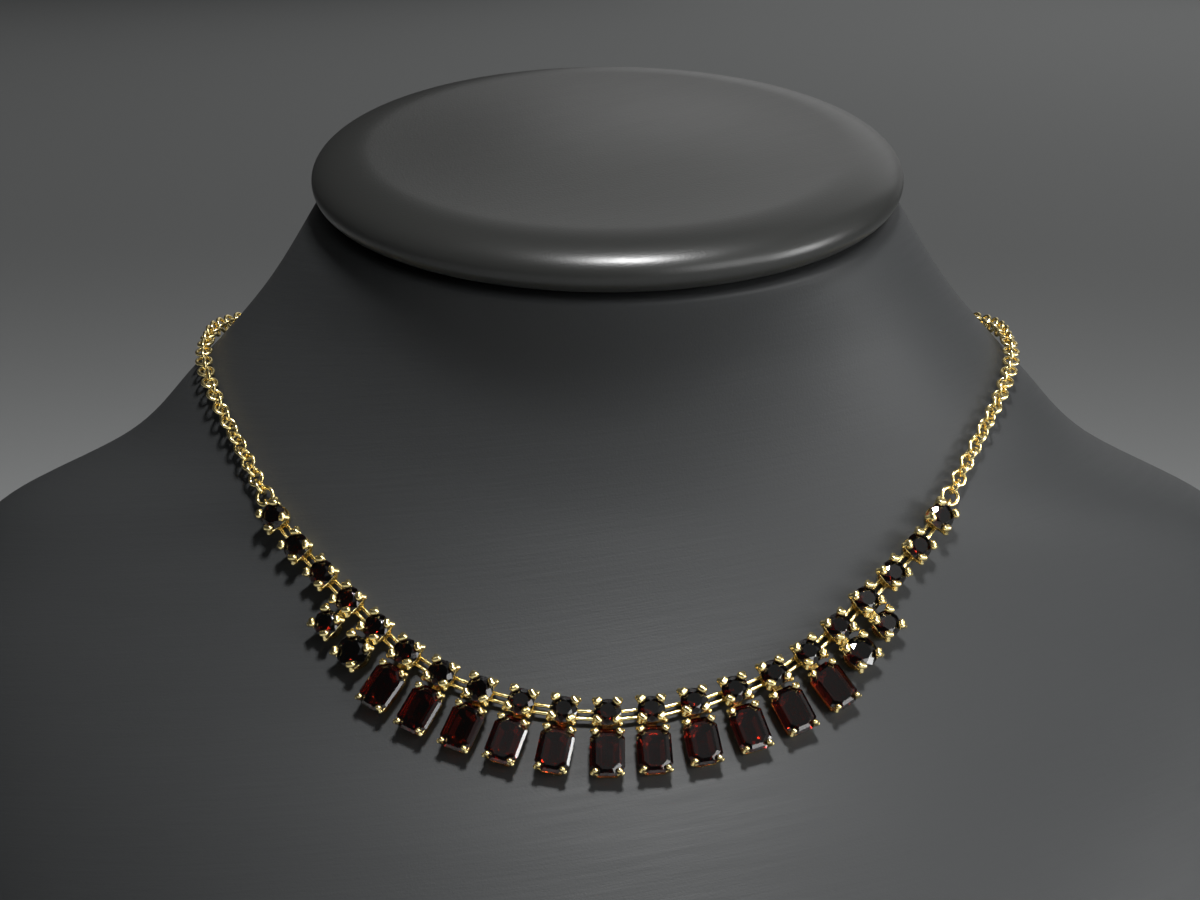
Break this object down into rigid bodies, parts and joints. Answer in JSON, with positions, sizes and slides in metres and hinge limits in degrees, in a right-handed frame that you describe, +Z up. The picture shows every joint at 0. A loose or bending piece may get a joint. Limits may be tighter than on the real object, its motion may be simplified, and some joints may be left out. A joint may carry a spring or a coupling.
{
  "type": "rhinestone fringe necklace on a neck bust",
  "caption": "Gold-tone fringe necklace: a row of claw-set round stones with emerald-cut drops below, on a thin round-link chain, lying on a dark neck bust with an oval cap.",
  "frame": {"origin": "middle of the bust's flat base", "axes": "+Z up, -Y to the front of the neck, +X to the right as the picture shows it"},
  "size_m": [0.2628, 0.1468, 0.176],
  "materials": {
    "gold": "polished pale gold plate",
    "row_garnet": "clear cut glass, very dark red",
    "drop_garnet": "clear cut glass, dark red",
    "leatherette": "satin dark grey leatherette with a fine grain",
    "leatherette_cap": "smooth satin dark grey leatherette"
  },
  "bodies": {
    "root": {"bust_body": "leatherette", "bust_cap": "leatherette_cap", "double_setting_04": "gold", "double_setting_05": "gold", "double_setting_06": "gold", "double_setting_07": "gold", "double_setting_08": "gold", "double_setting_09": "gold", "double_setting_10": "gold", "double_setting_11": "gold", "double_setting_12": "gold", "double_setting_13": "gold", "double_setting_14": "gold", "double_setting_15": "gold", "double_setting_16": "gold", "double_setting_17": "gold", "double_setting_18": "gold", "left_end_settings": "gold", "right_end_settings": "gold", "row_stone_01": "row_garnet", "row_stone_02": "row_garnet", "row_stone_03": "row_garnet", "row_stone_04": "row_garnet", "row_stone_05": "row_garnet", "row_stone_06": "row_garnet", "row_stone_07": "row_garnet", "row_stone_08": "row_garnet", "row_stone_09": "row_garnet", "row_stone_10": "row_garnet", "row_stone_11": "row_garnet", "row_stone_12": "row_garnet", "row_stone_13": "row_garnet", "row_stone_14": "row_garnet", "row_stone_15": "row_garnet", "row_stone_16": "row_garnet", "row_stone_17": "row_garnet", "row_stone_18": "row_garnet", "row_stone_19": "row_garnet", "row_stone_20": "row_garnet", "row_stone_21": "row_garnet", "drop_stone_04": "row_garnet", "drop_stone_05": "row_garnet", "drop_stone_06": "drop_garnet", "drop_stone_07": "drop_garnet", "drop_stone_08": "drop_garnet", "drop_stone_09": "drop_garnet", "drop_stone_10": "drop_garnet", "drop_stone_11": "drop_garnet", "drop_stone_12": "drop_garnet", "drop_stone_13": "drop_garnet", "drop_stone_14": "drop_garnet", "drop_stone_15": "drop_garnet", "drop_stone_16": "drop_garnet", "drop_stone_17": "row_garnet", "drop_stone_18": "row_garnet", "row_links": "gold", "left_chain": "gold", "right_chain": "gold", "clasp": "gold"}
  },
  "joints": []
}
